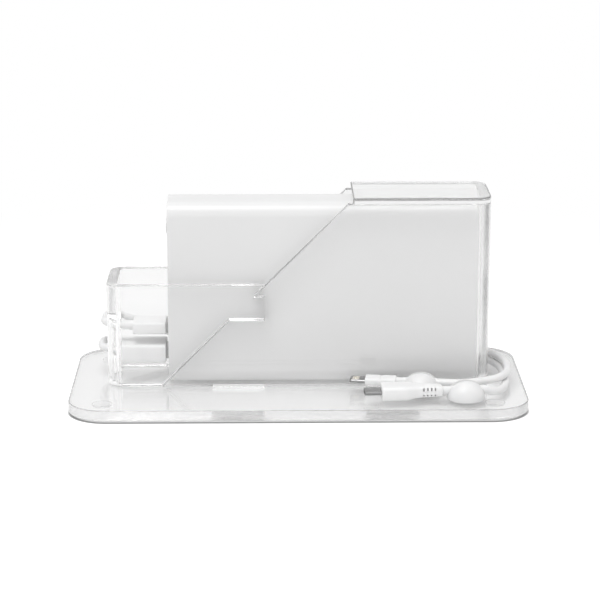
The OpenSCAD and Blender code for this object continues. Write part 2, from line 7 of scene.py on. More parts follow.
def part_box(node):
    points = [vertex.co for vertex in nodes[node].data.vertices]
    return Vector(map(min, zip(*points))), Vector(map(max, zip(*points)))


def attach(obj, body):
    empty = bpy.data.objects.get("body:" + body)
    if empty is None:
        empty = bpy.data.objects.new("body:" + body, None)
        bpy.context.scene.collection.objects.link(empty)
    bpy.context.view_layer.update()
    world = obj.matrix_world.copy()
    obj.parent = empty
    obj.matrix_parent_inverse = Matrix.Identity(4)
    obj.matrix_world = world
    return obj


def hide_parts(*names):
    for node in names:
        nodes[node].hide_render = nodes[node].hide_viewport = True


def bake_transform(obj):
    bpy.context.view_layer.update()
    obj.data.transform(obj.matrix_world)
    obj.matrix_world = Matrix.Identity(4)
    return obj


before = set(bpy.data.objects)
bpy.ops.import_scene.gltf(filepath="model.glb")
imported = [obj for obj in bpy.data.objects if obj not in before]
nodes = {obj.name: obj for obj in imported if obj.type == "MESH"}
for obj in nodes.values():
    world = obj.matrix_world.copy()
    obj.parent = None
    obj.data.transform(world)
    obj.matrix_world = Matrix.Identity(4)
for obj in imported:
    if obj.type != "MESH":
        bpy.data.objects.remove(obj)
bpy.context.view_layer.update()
mm = 0.001

# Camera, as the stand is usually shown: from the front and a little above
view = {
    "place": (-0.0130, -0.9794, 0.3048),
    "tilt": 75,      # degrees, 90 is level
    "turn": -0.82,   # degrees, to the right
    "lens": 134.3, "sensor": 36,
    "near": 0.05, "far": 20,
}


def addObject(name, data):
    thing = bpy.data.objects.new(name, data)
    bpy.context.scene.collection.objects.link(thing)
    return thing


def placeCamera():
    data = bpy.data.cameras.new("camera")
    data.lens, data.sensor_width = view["lens"], view["sensor"]
    data.clip_start, data.clip_end = view["near"], view["far"]
    camera = addObject("camera", data)
    camera.location = view["place"]
    camera.rotation_euler = (radians(view["tilt"]), 0, radians(view["turn"]))
    bpy.context.scene.camera = camera


placeCamera()
print("camera placed")

# inside a clear sheet light bounces many times before it comes out
lightPaths = {"max_bounces": 32, "glossy_bounces": 24, "transmission_bounces": 24}
for limit, count in lightPaths.items():
    setattr(bpy.context.scene.cycles, limit, count)


def setInput(tree, place, value):
    # the value is plain, or the socket that drives it
    if isinstance(value, bpy.types.NodeSocket):
        tree.links.new(value, place)
    else:
        place.default_value = value


def setInputs(tree, node, **values):
    for key, value in values.items():
        setInput(tree, node.inputs[key.replace("_", " ")], value)


def addNode(tree, kind, settings=None, **values):
    node = tree.nodes.new(kind)
    for key, value in (settings or {}).items():
        setattr(node, key, value)
    setInputs(tree, node, **values)
    return node


def mathNode(tree, operation, *values):
    node = addNode(tree, "ShaderNodeMath", {"operation": operation})
    for place, value in zip(node.inputs, values):
        setInput(tree, place, value)
    return node.outputs[0]


def mixed(tree, factor, a, b, kind="RGBA"):
    return addNode(tree, "ShaderNodeMix", {"data_type": kind}, Factor=factor, A=a,
                   B=b).outputs["Result"]


def mixShader(tree, factor, a, b):
    mix = addNode(tree, "ShaderNodeMixShader", Fac=factor)
    setInput(tree, mix.inputs[1], a)
    setInput(tree, mix.inputs[2], b)
    return mix.outputs[0]


def smoothStep(tree, value, band, low=0, high=1):
    return addNode(tree, "ShaderNodeMapRange", {"interpolation_type": "SMOOTHSTEP"}, Value=value,
                   From_Min=band[0], From_Max=band[1], To_Min=low, To_Max=high).outputs["Result"]


def newGroup(name, inputs, outputs):
    group = bpy.data.node_groups.new(name, "ShaderNodeTree")
    for label, kind, value in inputs:
        socket = group.interface.new_socket(label, in_out="INPUT", socket_type=kind)
        socket.default_value = value
    for label, kind in outputs:
        group.interface.new_socket(label, in_out="OUTPUT", socket_type=kind)
    return group, addNode(group, "NodeGroupInput"), addNode(group, "NodeGroupOutput")


skinOutputs = [("Colour", "NodeSocketColor"), ("Roughness", "NodeSocketFloat"),
               ("Height", "NodeSocketFloat")]


def noiseField(group, where, size, detail, roughness):
    # noise whose features are as wide as the size socket says
    noise = addNode(group, "ShaderNodeTexNoise", Vector=where, Detail=detail,
                    Roughness=roughness, Scale=mathNode(group, "DIVIDE", 1, size))
    return noise.outputs["Fac"]


def putOut(group, start, end, colourBy, glossBy, height):
    # the colour turns to its shade, and the gloss spreads, as these fields say
    given = start.outputs
    setInputs(group, end, Colour=mixed(group, colourBy, given["Colour"], given["Shade"]),
              Roughness=mathNode(group, "MULTIPLY_ADD", glossBy, given["Spread"],
                                 given["Roughness"]),
              Height=height)


def mouldedSkinGroup():
    # fine spark-eroded grain, with a slow drift in colour and gloss
    group, start, end = newGroup("mouldedSkin", [
        ("Colour", "NodeSocketColor", (0.8, 0.8, 0.8, 1)),
        ("Shade", "NodeSocketColor", (0.7, 0.7, 0.7, 1)),
        ("Grain", "NodeSocketFloat", 0.0003),
        ("Patch", "NodeSocketFloat", 0.02),
        ("Roughness", "NodeSocketFloat", 0.4),
        ("Spread", "NodeSocketFloat", 0.08),
    ], skinOutputs)
    where = addNode(group, "ShaderNodeTexCoord").outputs["Object"]
    fine = noiseField(group, where, start.outputs["Grain"], 3, 0.55)
    slow = noiseField(group, where, start.outputs["Patch"], 2, 0.5)
    contrast = addNode(group, "ShaderNodeMapRange", Value=slow, From_Min=0.3, From_Max=0.7)
    centred = mathNode(group, "SUBTRACT", slow, 0.5)
    putOut(group, start, end, contrast.outputs["Result"], centred, fine)
    return group


def polishedSheetGroup():
    # cast sheet: a very slow wave, and faint wiping marks in the gloss
    group, start, end = newGroup("polishedSheet", [
        ("Wave", "NodeSocketFloat", 0.04),
        ("Mark", "NodeSocketFloat", 0.01),
        ("Dullest", "NodeSocketFloat", 0.03),
    ], skinOutputs[1:])
    where = addNode(group, "ShaderNodeTexCoord").outputs["Object"]
    wave = noiseField(group, where, start.outputs["Wave"], 1, 0.4)
    mark = noiseField(group, where, start.outputs["Mark"], 4, 0.6)
    dull = addNode(group, "ShaderNodeMapRange", Value=mark, From_Min=0.55, From_Max=0.8, To_Min=0,
                   To_Max=start.outputs["Dullest"])
    setInputs(group, end, Roughness=dull.outputs["Result"], Height=wave)
    return group


def drawnMetalGroup():
    # rolled or plated metal: fine lines along one direction
    group, start, end = newGroup("drawnMetal", [
        ("Colour", "NodeSocketColor", (0.6, 0.6, 0.6, 1)),
        ("Shade", "NodeSocketColor", (0.5, 0.5, 0.5, 1)),
        ("Line", "NodeSocketFloat", 0.0002),
        ("Roughness", "NodeSocketFloat", 0.25),
        ("Spread", "NodeSocketFloat", 0.15),
    ], skinOutputs)
    where = addNode(group, "ShaderNodeTexCoord").outputs["Object"]
    stretch = addNode(group, "ShaderNodeMapping", Vector=where, Scale=(0.06, 1, 1))
    lines = noiseField(group, stretch.outputs["Vector"], start.outputs["Line"], 3, 0.6)
    putOut(group, start, end, lines, lines, lines)
    return group


mouldedSkin = mouldedSkinGroup()
polishedSheet = polishedSheetGroup()
drawnMetal = drawnMetalGroup()


def newMaterial(name):
    material = bpy.data.materials.new(name)
    material.use_nodes = True
    tree = material.node_tree
    tree.nodes.clear()
    output = addNode(tree, "ShaderNodeOutputMaterial")
    shader = addNode(tree, "ShaderNodeBsdfPrincipled")
    tree.links.new(shader.outputs[0], output.inputs["Surface"])
    return material, tree, shader, output


def bumpFrom(tree, group, depth):
    return addNode(tree, "ShaderNodeBump", Strength=1, Distance=depth,
                   Height=group.outputs["Height"]).outputs["Normal"]


def faceValue(tree, name):
    return addNode(tree, "ShaderNodeAttribute", {"attribute_name": name}).outputs["Fac"]


def grey(level, tint=(1, 1, 1)):
    return (level * tint[0], level * tint[1], level * tint[2], 1)


def skinned(name, group, depth, values, **shading):
    # a material whose colour, gloss and relief come from the shader group
    material, tree, shader = newMaterial(name)[:3]
    skin = addNode(tree, "ShaderNodeGroup", {"node_tree": group}, **values)
    setInputs(tree, shader, Base_Color=skin.outputs["Colour"], Roughness=skin.outputs["Roughness"],
              Normal=bumpFrom(tree, skin, depth), **shading)
    return material


def plastic(name, colour, shade, roughness, grain=0.0003, patch=0.02, depth=0.00001, ior=1.5,
            soft=0, reach=0):
    shading = {"IOR": ior}
    if soft:  # light that goes a little way in
        shading.update(Subsurface_Weight=soft, Subsurface_Radius=(1, 0.95, 0.9),
                       Subsurface_Scale=reach)
    return skinned(name, mouldedSkin, depth, {"Colour": colour, "Shade": shade, "Grain": grain,
                   "Patch": patch, "Roughness": roughness}, **shading)


def metal(name, colour, shade, line, roughness, depth=0.000003):
    return skinned(name, drawnMetal, depth, {"Colour": colour, "Shade": shade, "Line": line,
                   "Roughness": roughness}, Metallic=1)


def clear(name, colour, edge, ior, shadow, edgeShadow, wave, mark, dullest, depth):
    material, tree, shader, output = newMaterial(name)
    polish = addNode(tree, "ShaderNodeGroup", {"node_tree": polishedSheet}, Wave=wave,
                     Mark=mark, Dullest=dullest)
    # the eased edges carry painted shade, a dark tint that stands in for the dark lines clear edges
    # show, and are a little matt
    setInputs(tree, shader, Base_Color=mixed(tree, faceValue(tree, "rim"), colour, edge),
              Roughness=mathNode(tree, "ADD", faceValue(tree, "dull"), polish.outputs["Roughness"]),
              Normal=bumpFrom(tree, polish, depth), Transmission_Weight=1, IOR=ior)
    # lamps and soft light go straight through the faces, but less so through the cut edges
    dim = mixed(tree, faceValue(tree, "cut"), shadow, edgeShadow)
    through = addNode(tree, "ShaderNodeBsdfTransparent", Color=dim).outputs[0]
    path = addNode(tree, "ShaderNodeLightPath").outputs
    last = mixShader(tree, path["Is Diffuse Ray"], shader.outputs[0], through)
    last = mixShader(tree, path["Is Shadow Ray"], last, through)
    tree.links.new(last, output.inputs["Surface"])
    return material


# each has its colour, and then the shade that it drifts to or, where clear, the painted shade tint
# of its eased edges;
# widths of grain, patches, lines and waves, and depths of relief, are in metres
finish = {
    "clear_sheet": clear("clearSheet", grey(0.98), grey(0.12), ior=1.49, shadow=grey(0.995),
        edgeShadow=grey(0.75), wave=0.05, mark=0.012, dullest=0.02, depth=0.000005),
    # the tray's greyer tint is partly its thicker sheet and partly painted shade, for the shaded
    # floor seen through it
    "clear_tray": clear("clearTray", grey(0.91), grey(0.12), ior=1.49, shadow=grey(0.985),
        edgeShadow=grey(0.75), wave=0.05, mark=0.012, dullest=0.02, depth=0.000008),
    "clear_foot": clear("clearFoot", grey(0.98), grey(0.97), ior=1.47, shadow=grey(0.995),
        edgeShadow=grey(0.99), wave=0.004, mark=0.002, dullest=0.04, depth=0.00001),
    "case_white": plastic("caseWhite", grey(0.785), grey(0.77), grain=0.00022, depth=0.000006,
        roughness=0.34, patch=0.05),
    "cap_white": plastic("capWhite", grey(0.76), grey(0.73), roughness=0.45),
    "plug_white": plastic("plugWhite", grey(0.90), grey(0.87), depth=0.000012, roughness=0.42,
        patch=0.008),
    "lead_white": plastic("leadWhite", grey(0.87), grey(0.84), grain=0.0006, depth=0.000015,
        roughness=0.38, patch=0.012, soft=0.15, reach=0.001),
    "clip_white": plastic("clipWhite", grey(0.84), grey(0.81), grain=0.0008, depth=0.00002,
        roughness=0.4, patch=0.006, soft=0.35, reach=0.003, ior=1.42),
    "pad_tape": plastic("padTape", grey(0.62), grey(0.56), grain=0.0004, depth=0.00004,
        roughness=0.7, patch=0.003),
    # partly painted shade: the shell's metal is darker than bare steel, to stand in for the dark
    # surroundings it reflects
    "shell_metal": metal("shellMetal", grey(0.38), grey(0.27), line=0.00035, roughness=0.18),
    "screw_steel": metal("screwSteel", grey(0.55), grey(0.42), line=0.0002, roughness=0.3),
    "contact_gold": metal("contactGold", (0.72, 0.69, 0.62, 1), (0.62, 0.58, 0.5, 1), line=0.0001,
        depth=0.000001, roughness=0.2),
    "board_green": plastic("boardGreen", (0.02, 0.16, 0.06, 1), (0.03, 0.22, 0.09, 1),
        grain=0.0008, depth=0.00002, roughness=0.35, patch=0.003),
    "led_body": plastic("ledBody", (0.75, 0.68, 0.35, 1), (0.7, 0.6, 0.28, 1), roughness=0.3,
        patch=0.001),
    "pipe_clear": clear("pipeClear", (0.94, 0.96, 0.98, 1), grey(0.8), ior=1.5, shadow=grey(0.8),
        edgeShadow=grey(0.8), wave=0.003, mark=0.001, dullest=0.25, depth=0.00001),
    "switch_black": plastic("switchBlack", grey(0.035), grey(0.05), roughness=0.45, patch=0.002),
    "core_plastic": plastic("corePlastic", grey(0.78, (1, 0.995, 0.97)), grey(0.72),
        roughness=0.5, patch=0.003),
    "core_dark": plastic("coreDark", grey(0.03), grey(0.045), roughness=0.5, patch=0.002),
    "cell_foil": metal("cellFoil", grey(0.68), grey(0.58), line=0.004, depth=0.00005,
        roughness=0.35),
    "tape_amber": plastic("tapeAmber", (0.55, 0.32, 0.05, 1), (0.48, 0.27, 0.04, 1), grain=0.002,
        depth=0.00002, roughness=0.25, patch=0.01),
    "foam_grey": plastic("foamGrey", grey(0.1), grey(0.07), grain=0.0006, depth=0.0001,
        roughness=0.9, patch=0.002),
}
print("materials made:", len(finish))


def newPiece(name, mesh, slotName, node, body="stand", look=None):
    # a finished piece: its finish, the CAD node it stands for, and its body
    piece = addObject(name, mesh)
    mesh.materials.clear()
    mesh.materials.append(finish[look or slotName])
    if body:
        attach(piece, body)
    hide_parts(node)
    return piece


def smoothMesh(mesh, sharpFrom=20):
    mesh.polygons.foreach_set("use_smooth", [True] * len(mesh.polygons))
    mesh.set_sharp_from_angle(angle=radians(sharpFrom))
    return mesh


def plainMesh(name, bm):
    mesh = bpy.data.meshes.new(name)
    bm.to_mesh(mesh)
    bm.free()
    return mesh


def meshFrom(name, bm, merge=1e-7):
    bmesh.ops.remove_doubles(bm, verts=bm.verts, dist=merge)
    bmesh.ops.recalc_face_normals(bm, faces=bm.faces)
    return plainMesh(name, bm)


def meshOf(helper):
    # the helper's mesh after its modifiers; the helper itself goes
    graph = bpy.context.evaluated_depsgraph_get()
    mesh = bpy.data.meshes.new_from_object(helper.evaluated_get(graph), depsgraph=graph)
    bpy.data.objects.remove(helper)
    return mesh


def withModifier(mesh, kind, **settings):
    helper = addObject("helper", mesh)
    modifier = helper.modifiers.new(kind.lower(), kind)
    for key, value in settings.items():
        setattr(modifier, key, value)
    return meshOf(helper)


def cutAway(mesh, cutterMesh):
    cutter = addObject("cutter", cutterMesh)
    cut = withModifier(mesh, "BOOLEAN", object=cutter, operation="DIFFERENCE", solver="EXACT",
                       use_self=True)
    bpy.data.objects.remove(cutter)
    return cut


sheet = {
    "edge": 0.3 * mm, "topEdge": 0.5 * mm,  # how wide its edges are eased
    "settle": 0.02 * mm,    # how far a top stays under what stands on it
    "rimWidth": 12 * mm,    # the tray's rim, which has no slots
    "cutWidth": 5.5 * mm,   # a face narrower than this is a cut one,
    "cutEdges": 0.15,       # where this share of its outline is sharp
    "sharp": 35,            # degrees from which an edge is sharp
    "upright": 0.1,         # how far an upright face's normal may rise
    "bent": 0.02,           # an upright face turned more than this is part of a bend
    "easedDull": 0.2, "gluedDull": 0.15,
}
# the kinds of a sheet's faces, and those that shade on as one surface
faceKind = {"face": 0, "cut": 1, "glued": 2, "eased": 3, "bend": 4, "foot": 5}
shadesAs = (0, 1, 2, 3, 0, 1)


def solidOf(node):
    # the CAD node's surface, merged, with its flat faces whole
    bm = bmesh.new()
    bm.from_mesh(nodes[node].data)
    bmesh.ops.remove_doubles(bm, verts=bm.verts, dist=2e-6)
    bmesh.ops.dissolve_limit(bm, angle_limit=radians(0.3), verts=bm.verts, edges=bm.edges)
    return bm


def easedCopy(node, edge, segments=2, change=None, sharpFrom=10, glued=None, paintedEdgeShade=0.6,
              cutDull=0.08, bendDull=0, paintedFootShade=0):
    # the CAD node's shape with its edges eased, but not where it is glued into another sheet;
    # its faces tell how much painted shade they carry, how shading and how dull they are, and its
    # foot edges can carry their own painted shade
    bm = solidOf(node)
    if change:
        change(bm)
    layer = bm.edges.layers.float.new("bevel_weight_edge")
    sharp = {e for e in bm.edges
             if len(e.link_faces) == 2 and e.calc_face_angle(0) > radians(sheet["sharp"])}
    for e in sharp:
        e[layer] = 0 if glued and glued((e.verts[0].co + e.verts[1].co) / 2) else 1
    for face in bm.faces:
        # a cut face is a narrow one between sharp edges
        around = face.calc_perimeter()
        narrow = 2 * face.calc_area() < sheet["cutWidth"] * around
        bounded = (sum(e.calc_length() for e in face.edges if e in sharp)
                   > sheet["cutEdges"] * around)
        if narrow and bounded:
            kind = "glued" if glued and glued(face.calc_center_median()) else "cut"
        else:
            upright = abs(face.normal.z) < sheet["upright"]
            turned = min(abs(face.normal.x), abs(face.normal.y)) > sheet["bent"]
            kind = "bend" if upright and turned else "face"
        face.material_index = faceKind[kind]
    mesh = plainMesh(node, bm)
    for kind in faceKind:  # room for each kind's index
        mesh.materials.append(None)
    mesh = withModifier(mesh, "BEVEL", width=edge, segments=segments, limit_method="WEIGHT",
                        material=faceKind["eased"], use_clamp_overlap=True,
                        miter_outer="MITER_ARC")
    # eased edges along the foot may carry their own painted shade, a dark line at the base
    if paintedFootShade:
        footZ = min(v.co.z for v in mesh.vertices) + 1.5 * edge
        for face in mesh.polygons:
            if face.material_index == faceKind["eased"] and face.center.z < footZ:
                face.material_index = faceKind["foot"]
    # how much painted shade, how shading and how dull each kind is, in the order of faceKind
    told = ((0, 0, 0), (0, 1, cutDull), (0, 0, sheet["gluedDull"]), (paintedEdgeShade, 1, sheet["easedDull"]),
            (0, 0, bendDull), (paintedFootShade, 1, sheet["easedDull"]))
    found = [told[face.material_index] for face in mesh.polygons]
    for name, values in zip(("rim", "cut", "dull"), zip(*found)):
        mesh.attributes.new(name, "FLOAT", "FACE").data.foreach_set("value", values)
    smoothMesh(mesh, sharpFrom)
    bm = bmesh.new()
    bm.from_mesh(mesh)
    for e in bm.edges:
        if len({shadesAs[face.material_index] for face in e.link_faces}) > 1:
            e.smooth = False
    for face in bm.faces:
        face.material_index = 0
    bm.to_mesh(mesh)
    bm.free()
    return mesh


def roundRing(width, height, radius, corner=6):
    # points round a rectangle with round corners, in Y and Z
    points = []
    for turn, sideY, sideZ in ((0, 1, 1), (90, -1, 1), (180, -1, -1), (270, 1, -1)):
        for step in range(corner + 1):
            a = radians(turn + 90 * step / corner)
            points.append((sideY * (width / 2 - radius) + radius * cos(a),
                           sideZ * (height / 2 - radius) + radius * sin(a)))
    return points


def loft(sections, closed=True):
    # sections are (x, [(y, z), ...]) with as many points each
    bm = bmesh.new()
    rings = [[bm.verts.new((x, y, z)) for y, z in points] for x, points in sections]
    count = len(rings[0])
    for a, b in zip(rings, rings[1:]):
        for k in range(count):
            bm.faces.new((a[k], a[(k + 1) % count], b[(k + 1) % count], b[k]))
    if closed:
        bm.faces.new(rings[0])
        bm.faces.new(rings[-1])
    return bm


def easedBlock(x0, x1, width, height, radius, ease, corner=6, steps=4):
    # sections of a block along X whose two ends are rounded over
    sections = []
    for end, x, way in ((0, x0, 1), (1, x1, -1)):
        ring = []
        for step in range(steps + 1):
            a = radians(90 * step / steps)
            inset = ease * (1 - sin(a))
            ring.append((x + way * ease * (1 - cos(a)),
                         roundRing(width - 2 * inset, height - 2 * inset,
                                   max(radius - inset, radius * 0.3), corner)))
        sections += ring if end == 0 else ring[::-1]
    return sections


def roundRod(start, rings, unit=1):
    # a round rod along X; its rings are (along, diameter) in the unit
    return loft([(start + along * unit, roundRing(d * unit, d * unit, d * unit / 2.001))
                 for along, d in rings])


def turnedShape(profile, sides):
    # a round shape along X; its profile is (x, radius), from the axis and back to it
    turns = [2 * pi * k / sides for k in range(sides)]
    return loft([(x, [(r * cos(a), r * sin(a)) for a in turns]) for x, r in profile], False)


def copiesTree():
    # copies of one piece along a line
    tree = bpy.data.node_groups.new("copiesAlongLine", "GeometryNodeTree")
    face = tree.interface
    for label, kind in (("Piece", "NodeSocketObject"), ("Count", "NodeSocketInt"),
                        ("First", "NodeSocketVector"), ("Step", "NodeSocketVector"),
                        ("Turn", "NodeSocketVector"), ("Finish", "NodeSocketMaterial")):
        face.new_socket(label, in_out="INPUT", socket_type=kind)
    face.new_socket("Geometry", in_out="OUTPUT", socket_type="NodeSocketGeometry")
    given, end = addNode(tree, "NodeGroupInput").outputs, addNode(tree, "NodeGroupOutput")
    line = addNode(tree, "GeometryNodeMeshLine", {"mode": "OFFSET", "count_mode": "TOTAL"},
                   Count=given["Count"], Start_Location=given["First"], Offset=given["Step"])
    source = addNode(tree, "GeometryNodeObjectInfo", Object=given["Piece"])
    place = addNode(tree, "GeometryNodeInstanceOnPoints", Points=line.outputs["Mesh"],
                    Instance=source.outputs["Geometry"], Rotation=given["Turn"])
    real = addNode(tree, "GeometryNodeRealizeInstances", Geometry=place.outputs["Instances"])
    paint = addNode(tree, "GeometryNodeSetMaterial", Geometry=real.outputs[0],
                    Material=given["Finish"])
    tree.links.new(paint.outputs[0], end.inputs["Geometry"])
    return tree


copiesAlongLine = copiesTree()


def copiesOf(mesh, slotName, lines):
    # a plain mesh of copies; lines are (count, first, step, turn)
    source = addObject("source", mesh)
    bm = bmesh.new()
    for count, first, step, turn in lines:
        host = addObject("host", bpy.data.meshes.new("host"))
        modifier = host.modifiers.new("copies", "NODES")
        modifier.node_group = copiesAlongLine
        values = {"Piece": source, "Count": count, "First": first, "Step": step,
                  "Turn": turn, "Finish": finish[slotName]}
        for item in copiesAlongLine.interface.items_tree:
            if item.in_out == "INPUT":
                modifier[item.identifier] = values[item.name]
        bm.from_mesh(meshOf(host))
    bpy.data.objects.remove(source)
    return plainMesh("copies", bm)


# each clip's middle, and its turn
clips = {
    "rear": {"x": 55 * mm, "y": -22.1 * mm, "turn": radians(-8)},
    "front": {"x": 74 * mm, "y": -33.8 * mm, "turn": radians(4)},
}
leadZ = (5.8 + 4.4) * mm  # the tray's top, and how high the clips hold the leads


def onClip(clip, along):
    c = clips[clip]
    return (c["x"] + along * mm * cos(c["turn"]), c["y"] + along * mm * sin(c["turn"]), leadZ)


def inClip(clip):
    c = clips[clip]
    return Matrix.Translation((c["x"], c["y"], leadZ)) @ Matrix.Rotation(c["turn"], 4, "Z")


lead = {"diameter": 3.5 * mm, "sides": 20, "step": 1.0 * mm,
        "bendFrom": (-0.02, 0.027, 0.015), "bendTo": (-0.079, 0.027, 0.015)}

routeUpper = [(x * mm, y * mm, z * mm) for x, y, z in (
    (-79.8, 5, 30), (-81, 5, 30), (-83.9, 5.6, 30), (-86.3, 7.2, 30), (-87.9, 9.6, 29.9),
    (-88.5, 12.5, 29.8), (-88.5, 18, 29.5), (-88.5, 25, 29), (-87.4, 29.2, 28.5),
    (-84.3, 32.2, 27.8), (-80, 33, 26.8), (-72, 33, 24.2), (-62, 33, 20.2), (-52, 33, 16),
    (-42, 33, 12.2), (-32, 33, 9.2), (-22, 33, 7.8), (-12, 33, 7.6), (2, 33, 7.6), (16, 33, 7.6),
    (28, 32.6, 7.9), (38, 31.2, 9), (48, 29.5, 10.7), (58, 27.9, 11.2), (70, 26.9, 11.2),
    (79, 26.4, 11.2), (85.6, 24.4, 11.2), (90.2, 20, 11.2), (93.2, 14, 11.2), (94.8, 7.6, 11.2),
    (95.4, 1, 11.2), (95.2, -5.6, 11.2), (93.9, -12, 11.2), (91, -17.8, 11.2), (86.6, -21.8, 11.1),
    (81, -24, 10.9), (75.4, -24.6, 10.5), (70, -24.2, 10.2))]
routeUpper += [onClip("rear", 6), onClip("rear", -6), onClip("rear", -8.3)]
routeLower = [(x * mm, y * mm, z * mm) for x, y, z in (
    (-80.7, 5, 18.2), (-82.5, 5, 18.2), (-85.4, 5.6, 18.2), (-87.8, 7.2, 18.2),
    (-89.4, 9.6, 18.1), (-90, 12.5, 18), (-90, 18.5, 17.8), (-88.9, 23.2, 17.4),
    (-85.8, 26.3, 16.8), (-81.5, 27.5, 16), (-72, 27.5, 13.4), (-62, 27.5, 10.6),
    (-52, 27.5, 8.5), (-42, 27.5, 7.6), (-28, 27.5, 7.6), (-10, 27.5, 7.6), (8, 27.5, 7.6),
    (26, 27.5, 7.6), (44, 27.5, 7.6), (57, 27.3, 7.6), (70, 26.7, 7.6), (79, 25.9, 7.6),
    (85.3, 23.8, 7.6), (89.7, 19.5, 7.6), (92.3, 14, 7.6), (93.5, 8, 7.6), (93.9, 2, 7.6),
    (94, -4.5, 7.6), (93.8, -11, 7.6), (93.1, -17.5, 7.6), (91.5, -23.5, 7.6), (88.8, -28.5, 7.9),
    (85.4, -31.8, 8.8), (82.6, -33, 9.9))]
routeLower += [onClip("front", 6), onClip("front", -6), onClip("front", -10.7)]


def smoothRoute(points, step, fineSteps=24):
    # an even walk along a smooth curve through the points
    p = [Vector(v) for v in points]
    p = [2 * p[0] - p[1]] + p + [2 * p[-1] - p[-2]]
    fine = []
    for a, b, c, d in zip(p, p[1:], p[2:], p[3:]):
        t0, t1 = 0, (b - a).length ** 0.5
        t2 = t1 + (c - b).length ** 0.5
        t3 = t2 + (d - c).length ** 0.5
        for k in range(fineSteps):
            t = t1 + (t2 - t1) * k / fineSteps
            ab = a.lerp(b, (t - t0) / (t1 - t0))
            bc = b.lerp(c, (t - t1) / (t2 - t1))
            cd = c.lerp(d, (t - t2) / (t3 - t2))
            abc = ab.lerp(bc, (t - t0) / (t2 - t0))
            bcd = bc.lerp(cd, (t - t1) / (t3 - t1))
            fine.append(abc.lerp(bcd, (t - t1) / (t2 - t1)))
    fine.append(p[-2])
    total = sum((b - a).length for a, b in zip(fine, fine[1:]))
    count = max(2, round(total / step))
    walk, done, goal = [fine[0]], 0.0, total / count
    for a, b in zip(fine, fine[1:]):
        length = (b - a).length
        while done + length >= goal - 1e-12 and len(walk) < count:
            walk.append(a.lerp(b, (goal - done) / length))
            goal += total / count
        done += length
    walk.append(fine[-1])
    return walk, total


def tubeMesh(name, path, diameter, sides):
    # round tube with a UV map: U round it, V along it in metres
    bm = bmesh.new()
    layer = bm.loops.layers.uv.new("along")
    rings, side = [], None
    for i, point in enumerate(path):
        ahead = (path[min(i + 1, len(path) - 1)] - path[max(i - 1, 0)]).normalized()
        if side is None:
            side = ahead.cross(Vector((0, 0, 1))).normalized()
        side = (side - ahead * side.dot(ahead)).normalized()
        up = side.cross(ahead)
        rings.append([bm.verts.new(point + diameter / 2 * (cos(2 * pi * k / sides) * side
                                   + sin(2 * pi * k / sides) * up)) for k in range(sides)])
    along = [0.0]
    for a, b in zip(path, path[1:]):
        along.append(along[-1] + (b - a).length)
    for i in range(len(path) - 1):
        for k in range(sides):
            n = (k + 1) % sides
            face = bm.faces.new((rings[i][k], rings[i][n], rings[i + 1][n], rings[i + 1][k]))
            for loop, u, v in zip(face.loops, (k, k + 1, k + 1, k), (i, i, i + 1, i + 1)):
                loop[layer].uv = (u / sides, along[v])
    bm.faces.new(rings[0])
    bm.faces.new(rings[-1])
    return smoothMesh(meshFrom(name, bm), 40)


def layLead(name, route, node):
    path, length = smoothRoute(route, lead["step"])
    piece = newPiece(name, tubeMesh(name, path, lead["diameter"], lead["sides"]),
                     "lead_white", node, None)
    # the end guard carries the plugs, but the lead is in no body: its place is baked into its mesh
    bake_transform(piece)
    print(name, "laid, length", round(length, 4), "m")
    return piece, path, length


leadUpper, pathUpper, lengthUpper = layLead("leadUpper", routeUpper, "lead_upper")
leadLower, pathLower, lengthLower = layLead("leadLower", routeLower, "lead_lower")


def lowerTop(bm):
    # a hair under what stands on it, so that no two clear faces coincide
    top = max(v.co.z for v in bm.verts)
    for v in bm.verts:
        if v.co.z > top - 1e-5:
            v.co.z -= sheet["settle"]


def inTraySlot(point):
    return (abs(point.x) < trayHigh.x - sheet["rimWidth"]
            and abs(point.y) < trayHigh.y - sheet["rimWidth"])


def inTray(point):
    return point.z < trayHigh.z + sheet["edge"]


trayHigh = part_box("tray")[1]
# the eased edges of each sheet carry painted shade, a dark tint on them
newPiece("trayPlate", easedCopy("tray", sheet["edge"], 3, lowerTop, glued=inTraySlot, paintedEdgeShade=0.6,
                                cutDull=0.25), "clear_sheet", "tray", look="clear_tray")
newPiece("coverWalls", easedCopy("cover_walls", sheet["edge"], 2, lowerTop, glued=inTray, paintedEdgeShade=0.1,
                                 cutDull=0.3, bendDull=0.24), "clear_sheet", "cover_walls")
newPiece("coverTop", easedCopy("cover_top", sheet["topEdge"], paintedEdgeShade=1, paintedFootShade=0.45),
         "clear_sheet", "cover_top")
# the guard's lowest eased edges carry full painted shade, a dark line along its foot
newPiece("endGuard", easedCopy("end_guard", sheet["edge"], paintedEdgeShade=0.1, cutDull=0.2, bendDull=0.05,
                               paintedFootShade=1), "clear_sheet", "end_guard", "guard")
print("clear sheets made")


foot = {"diameter": 9 * mm, "height": 1 * mm, "ease": 0.5 * mm, "flatter": 0.9, "inset": 15 * mm,
        "sides": 48}


def footMesh():
    r, e = foot["diameter"] / 2, foot["ease"]
    top = foot["height"] - sheet["settle"]
    eased = [(e * (1 - cos(radians(a))) * foot["flatter"], r - e + e * sin(radians(a)))
             for a in range(0, 91, 15)]
    bm = turnedShape([(0, 0)] + eased + [(top, r), (top, 0)], foot["sides"])
    for v in bm.verts:  # stand it up
        v.co = (-v.co.z, v.co.y, v.co.x)
    return meshFrom("foot", bm, 1e-6)


footX, footY = trayHigh.x - foot["inset"], trayHigh.y - foot["inset"]
feetMesh = copiesOf(footMesh(), "clear_foot", [
    (2, (-footX, y, 0), (2 * footX, 0, 0), (0, 0, 0)) for y in (-footY, footY)])
newPiece("bumperFeet", smoothMesh(feetMesh, 40), "clear_foot", "feet")
print("feet made")


